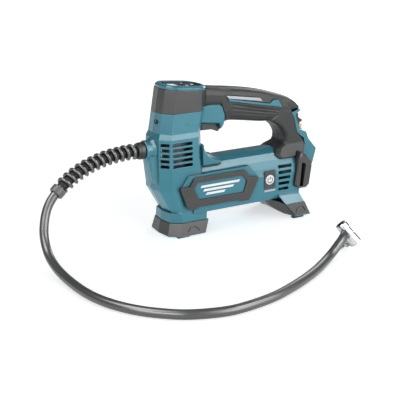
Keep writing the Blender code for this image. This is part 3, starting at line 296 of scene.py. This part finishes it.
# Turned pieces, whose facets are smoothed over; the housing keeps even its shallow folds.
ROUND = ("hose_gland", "sleeve_collar", "chuck_body", "lever_pin", "hose_fitting", "motor_can", "motor_shaft",
         "cylinder", "piston", "lamp_lens", "power_button", "crankshaft", "air_tube", "trigger_spring",
         "hose_sleeve", "hose")
ROUND_FOLD, HOUSING_FOLD, OTHER_FOLD = 20.0, 8.5, 12.0
SOFT_NODES = ("grip_left", "grip_right")


def wear(thing, finish):
    thing.data.materials.clear()
    thing.data.materials.append(finish)
    return thing


def crisp(name, angle):
    """Smooth shading on a CAD node, split along folds sharper than angle."""
    thing = NODES[name]
    weld = thing.modifiers.new("weld", "WELD")
    weld.merge_threshold = WELD
    split = thing.modifiers.new("folds", "EDGE_SPLIT")
    split.split_angle = math.radians(angle)
    split.use_edge_sharp = False
    even = thing.modifiers.new("even", "WEIGHTED_NORMAL")
    even.mode = "FACE_AREA"
    even.weight = 90
    thing.data.shade_smooth()


def soft_moulded(name, voxel, passes):
    """Rounds a CAD node over everywhere, as a soft overmould is, with modifiers only."""
    thing = NODES[name]
    weld = thing.modifiers.new("weld", "WELD")
    weld.merge_threshold = WELD
    grid = thing.modifiers.new("grid", "REMESH")
    grid.mode = "VOXEL"
    grid.voxel_size = voxel * MM
    grid.use_smooth_shade = True
    ease = thing.modifiers.new("ease", "SMOOTH")
    ease.factor = 0.5
    ease.iterations = passes


# ------------------------------------------------------------------ hose
HOSE_WAY = ((-21.3, 0, 102.5), (-41, 0, 102.7), (-50.6, 0, 101.9), (-66.2, 0, 100.1), (-81.6, 0, 96.2),
            (-96.6, -1, 91.1), (-109.7, -2, 84.5), (-123.6, -4, 75.4), (-135, -6, 66), (-143.5, -9, 54.4),
            (-149.6, -15, 39.7), (-152.9, -23, 27.8), (-155.2, -38, 15.7), (-157, -64, 8.9),
            (-156.1, -95.2, 5.3), (-153.8, -136.1, 5.3), (-144.5, -168.8, 5.3), (-128.6, -196.2, 5.3),
            (-108.2, -216.8, 5.3), (-91.1, -228.3, 5.3), (-64.7, -237.7, 5.3), (-41.3, -239.6, 5.3),
            (-5.9, -234.4, 5.3), (18, -226.5, 5.3), (45.2, -214.7, 5.3), (77.5, -197.3, 5.3),
            (107.9, -177.7, 6.6), (120.7, -171.9, 11.2), (130.7, -167.9, 16.4), (134.4, -166.3, 18.1),
            (138.0, -164.1, 19.6), (141.8, -161.4, 20.9), (143.3, -160.4, 21.3))
HOSE_RADIUS = 5.0
RUN_STEPS = 256
SLEEVE_TURNS = 12
SLEEVE_STEPS = 30
SLEEVE_WIRE = 1.9
SLEEVE_START, SLEEVE_END = 11.4, 106.0
CORE_START, CORE_STEP, CORE_POINTS = 10.5, 1.5, 66


def hose_run():
    """Smooth dense run through the hose route, as points and distances."""
    way = [Vector(p) for p in HOSE_WAY]
    dense = []
    for i in range(len(way) - 1):
        p0, p1, p2, p3 = way[max(i - 1, 0)], way[i], way[i + 1], way[min(i + 2, len(way) - 1)]
        for k in range(8):
            t = k / 8
            dense.append(0.5 * ((2 * p1) + (p2 - p0) * t + (2 * p0 - 5 * p1 + 4 * p2 - p3) * t * t
                                + (3 * p1 - p0 - 3 * p2 + p3) * t ** 3))
    dense.append(way[-1])
    for _ in range(6):
        inner = [(a + 2 * b + c) / 4 for a, b, c in zip(dense, dense[1:], dense[2:])]
        dense = [dense[0]] + inner + [dense[-1]]
    run = [0.0]
    for a, b in zip(dense, dense[1:]):
        run.append(run[-1] + (b - a).length)
    return dense, run


def along_run(dense, run, distance):
    """Point and direction on the run at a distance from its start."""
    distance = min(max(distance, 0.0), run[-1])
    for i in range(len(run) - 1):
        if run[i + 1] >= distance:
            part = (distance - run[i]) / max(run[i + 1] - run[i], 1e-9)
            return dense[i].lerp(dense[i + 1], part), (dense[i + 1] - dense[i]).normalized()
    return dense[-1], (dense[-1] - dense[-2]).normalized()


def mesh_of(rings, name):
    """Closed skin over a row of rings, capped at both ends."""
    bm = bmesh.new()
    loops = [[bm.verts.new(p) for p in ring] for ring in rings]
    for low, high in zip(loops, loops[1:]):
        for i in range(len(low)):
            j = (i + 1) % len(low)
            bm.faces.new((low[i], low[j], high[j], high[i]))
    bm.faces.new(list(reversed(loops[0])))
    bm.faces.new(loops[-1])
    bmesh.ops.recalc_face_normals(bm, faces=bm.faces)
    mesh = bpy.data.meshes.new(name)
    bm.to_mesh(mesh)
    bm.free()
    made = bpy.data.objects.new(name, mesh)
    bpy.context.scene.collection.objects.link(made)
    mesh.shade_smooth()
    mesh.set_sharp_from_angle(angle=math.radians(40))
    return made


def ribbon(points, tangents, centres, wide, thick, sides, name):
    """Rounded band that winds round a run: wide along the run, thick away from it."""
    rings = []
    for point, ahead, centre in zip(points, tangents, centres):
        out = (point - centre).normalized()
        rings.append([point + ahead * (wide * math.cos(a)) + out * (thick * math.sin(a))
                      for a in (2 * math.pi * k / sides for k in range(sides))])
    return mesh_of(rings, name)


def tube_along(points, radius, sides, name):
    """Round tube through points, without twist."""
    rings = []
    normal = None
    for i, point in enumerate(points):
        ahead = points[min(i + 1, len(points) - 1)] - points[max(i - 1, 0)]
        ahead.normalize()
        if normal is None:
            normal = ahead.orthogonal().normalized()
        normal = (normal - ahead * normal.dot(ahead)).normalized()
        side = ahead.cross(normal)
        rings.append([point + (normal * math.cos(a) + side * math.sin(a)) * radius
                      for a in (2 * math.pi * k / sides for k in range(sides))])
    return mesh_of(rings, name)


def hose():
    """The air hose, its coiled bend protector and the dark core inside the coil."""
    dense, run = hose_run()
    total = run[-1]
    curve = bpy.data.curves.new("air_hose", "CURVE")
    curve.dimensions = "3D"
    curve.bevel_depth = HOSE_RADIUS * MM
    curve.bevel_resolution = 6
    curve.use_fill_caps = True
    line = curve.splines.new("POLY")
    line.points.add(RUN_STEPS)
    for i in range(RUN_STEPS + 1):
        line.points[i].co = (*at(*along_run(dense, run, total * i / RUN_STEPS)[0]), 1.0)
    line.use_smooth = True
    made = bpy.data.objects.new("air_hose", curve)
    bpy.context.scene.collection.objects.link(made)
    made.data.materials.append(RUBBER)
    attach(made, "housing")
    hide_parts("hose")

    points, tangents, centres = [], [], []
    total_steps = SLEEVE_TURNS * SLEEVE_STEPS
    for i in range(total_steps + 1):
        gone = SLEEVE_START + (SLEEVE_END - SLEEVE_START) * i / total_steps
        centre, ahead = along_run(dense, run, gone)
        side = ahead.cross(Vector((0, 1, 0))).normalized()
        up = side.cross(ahead).normalized()
        angle = -2 * math.pi * i / SLEEVE_STEPS
        out = side * math.cos(angle) + up * math.sin(angle)
        spot = centre + out * (HOSE_RADIUS + 0.6 + SLEEVE_WIRE)
        points.append(at(*spot))
        tangents.append(ahead)
        centres.append(at(*centre))
    coil = wear(ribbon(points, tangents, centres, 1.9 * MM, 1.7 * MM, 16, "bend_coil"), WIRE)
    inner = [at(*along_run(dense, run, CORE_START + CORE_STEP * i)[0]) for i in range(CORE_POINTS)]
    core = wear(tube_along(inner, (HOSE_RADIUS + 0.7) * MM, 32, "coil_core"), DEEP_BLACK)
    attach(core, "housing")
    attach(coil, "housing")
    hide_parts("hose_sleeve")


# ------------------------------------------------------------------ small details
def bar(name, outline, near, far, finish, body):
    """Thin moulding with an outline in the side view, between two depths."""
    rings = [[at(x, y, z) for x, z in outline] for y in (near, far)]
    made = wear(mesh_of(rings, name), finish)
    made.data.set_sharp_from_angle(angle=math.radians(30))
    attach(made, body)


PANEL_TOP, PANEL_FALL = 172.2, 0.1


def on_panel(x, y, rise):
    """Point over the sloping display face, rise above it along the face's normal."""
    return at(x + rise * 0.0995, y, PANEL_TOP - PANEL_FALL * x + rise * 0.995)


def face_mark(name, outline, rise, finish, body):
    """Raised mark on the sloping display face, outlined in plan."""
    rings = [[on_panel(x, y, level) for x, y in outline] for level in (rise - 0.25, rise)]
    made = wear(mesh_of(rings, name), finish)
    made.data.set_sharp_from_angle(angle=math.radians(30))
    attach(made, body)


def box_outline(x0, x1, z0, z1):
    return [(x0, z0), (x1, z0), (x1, z1), (x0, z1)]


SIGN_BACK, SIGN_FRONT = -28.9, -29.12


def power_symbol():
    """Open ring and upright bar on the power key."""
    x, z, radius, wide = 133.4, 51.6, 3.3, 0.95
    gap, steps = math.radians(38), 26
    sweep = [math.pi / 2 + gap + (2 * math.pi - 2 * gap) * i / steps for i in range(steps + 1)]
    outer, inner = [[(x + reach * math.cos(a), z + reach * math.sin(a)) for a in sweep]
                    for reach in (radius + wide / 2, radius - wide / 2)]
    rings = []
    for one, two in zip(outer, inner):
        rings.append([at(one[0], SIGN_BACK, one[1]), at(one[0], SIGN_FRONT, one[1]),
                      at(two[0], SIGN_FRONT, two[1]), at(two[0], SIGN_BACK, two[1])])
    ring = wear(mesh_of(rings, "power_symbol_ring"), BLACK)
    ring.data.set_sharp_from_angle(angle=math.radians(30))
    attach(ring, "power_key")
    bar("power_symbol_bar", box_outline(x - 0.5, x + 0.5, z + 0.6, z + 4.4), SIGN_BACK, SIGN_FRONT,
        BLACK, "power_key")


READOUT_MARK, KEY_MARK = 2.86, 3.62


def display_marks():
    """Plain readout bars, and the signs on the plus, minus and unit keys, all white with a painted glow."""
    for row, (y0, y1) in enumerate(((-5.6, -1.6), (-0.6, 3.4), (4.4, 6.4))):
        face_mark("readout_%d" % (row + 1), [(13.2, y0), (21.6, y0), (21.6, y1), (13.2, y1)], READOUT_MARK,
                  PAINTED_GLOW_MARKS, "housing")
    along = [(30.0, -7.1), (34.0, -7.1), (34.0, -6.1), (30.0, -6.1)]
    across = [(31.5, -8.6), (32.5, -8.6), (32.5, -4.6), (31.5, -4.6)]
    face_mark("plus_mark_across", across, KEY_MARK, PAINTED_GLOW_MARKS, "plus_key")
    face_mark("plus_mark_along", along, KEY_MARK + 0.01, PAINTED_GLOW_MARKS, "plus_key")
    face_mark("minus_mark", [(31.5, 4.6), (32.5, 4.6), (32.5, 8.6), (31.5, 8.6)], KEY_MARK, PAINTED_GLOW_MARKS,
              "minus_key")
    face_mark("unit_mark", [(40.3, -1.7), (43.7, -1.7), (43.7, 1.7), (40.3, 1.7)], KEY_MARK, PAINTED_GLOW_MARKS,
              "unit_key")


def side_marks():
    """Silver bar under the power key, and three slanted bars on each name plate."""
    bar("light_bar", box_outline(125.6, 141.4, 37.4, 39.6), -27.4, -28.4, SILVER, "housing")
    for side, name in ((-1, "left"), (1, "right")):
        for i, (start, end) in enumerate(((36.0, 90.0), (39.5, 82.0), (43.0, 70.0))):
            z = 58.4 - 4.6 * i
            outline = [(start, z - 1.4), (start + 2.0, z + 1.4), (end, z + 1.4), (end - 2.0, z - 1.4)]
            bar("air_mark_%s_%d" % (name, i + 1), outline, side * 30.2, side * 30.5, WHITE,
                "housing")


def terminal_marks():
    """Spring clip and tab on the terminal block."""
    bar("terminal_clip", [(184.6, 110.4), (189.6, 110.0), (190.4, 108.2), (185.0, 108.2)], -13.2, -9.4,
        BRASS, "housing")
    bar("terminal_tab", [(185.2, 107.9), (188.9, 107.4), (189.4, 103.8), (186.4, 104.6)], -13.2, -9.6,
        STEEL, "housing")


# ------------------------------------------------------------------ stage
FLOOR_REACH = 40.0


def floor():
    """Pale floor that glows more with distance, so that the backdrop stays white."""
    shader = Shader("pale_floor")
    shade = shader.ramp(shader.noise(3.0, 3.0), 0.3, 0.7, 0.0, 1.0)
    shader.link(shader.mix(shade, (0.86, 0.86, 0.86), (0.90, 0.90, 0.90)), shader.main.inputs["Base Color"])
    shader.main.inputs["Roughness"].default_value = 0.9
    shader.main.inputs["Emission Color"].default_value = (1.0, 1.0, 1.0, 1.0)
    away = shader.tree.nodes.new("ShaderNodeVectorMath")
    away.operation = "LENGTH"
    shader.link(shader.coords, away.inputs[0])
    shader.link(shader.ramp(away.outputs["Value"], 0.6, 2.5, 0.56, 1.0),
                shader.main.inputs["Emission Strength"])
    far = FLOOR_REACH
    mesh = bpy.data.meshes.new("floor")
    mesh.from_pydata([(-far, -far, 0), (far, -far, 0), (far, far, 0), (-far, far, 0)], [], [(0, 1, 2, 3)])
    made = bpy.data.objects.new("floor", mesh)
    bpy.context.scene.collection.objects.link(made)
    mesh.materials.append(shader.made)


camera()
studio()
floor()
for finish, names in WORN.values():
    for name in names:
        wear(NODES[name], finish)
hose()
power_symbol()
display_marks()
side_marks()
terminal_marks()
for name in SOFT_NODES:
    soft_moulded(name, 0.5, 4)
for name in NODES:
    if name in SOFT_NODES:
        continue
    if name in ROUND:
        crisp(name, ROUND_FOLD)
    elif name.startswith("housing_"):
        crisp(name, HOUSING_FOLD)
    else:
        crisp(name, OTHER_FOLD)
